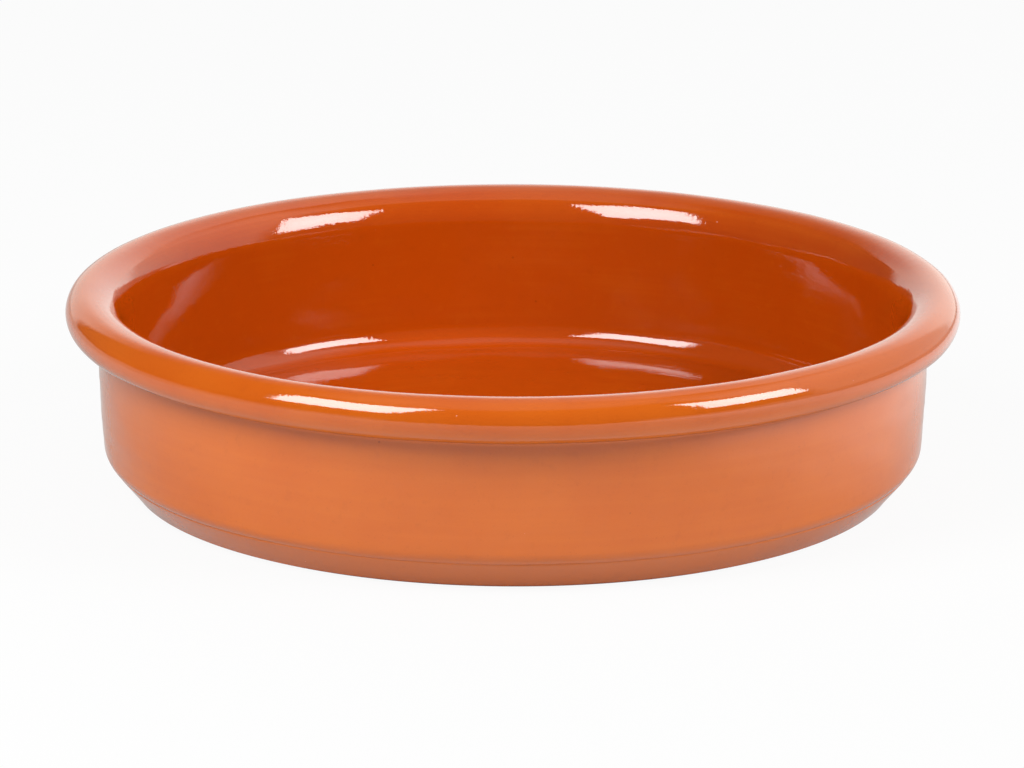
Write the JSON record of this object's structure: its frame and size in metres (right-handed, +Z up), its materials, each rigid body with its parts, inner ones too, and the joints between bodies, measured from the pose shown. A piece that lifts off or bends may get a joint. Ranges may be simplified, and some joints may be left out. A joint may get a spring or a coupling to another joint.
{
  "type": "glazed terracotta dish",
  "caption": "Shallow round terracotta dish with upright walls and a thick rolled rim, glossy clear glaze inside and out, for baking, serving or drying off liquids.",
  "frame": {"origin": "centre of the flat base, on the surface the dish rests on", "axes": "+Z up along the axis of the dish; +X and +Y are alike, and -Y is taken as the front"},
  "size_m": [0.145, 0.145, 0.0326],
  "materials": {
    "red_clay": "fired red clay, unglazed, smooth and matt; only the base shows it",
    "clear_glaze": "clear glossy glaze that deepens the red clay under it to orange-brown"
  },
  "bodies": {
    "root": {"clay_body": "red_clay", "glaze_coat": "clear_glaze"}
  },
  "joints": []
}
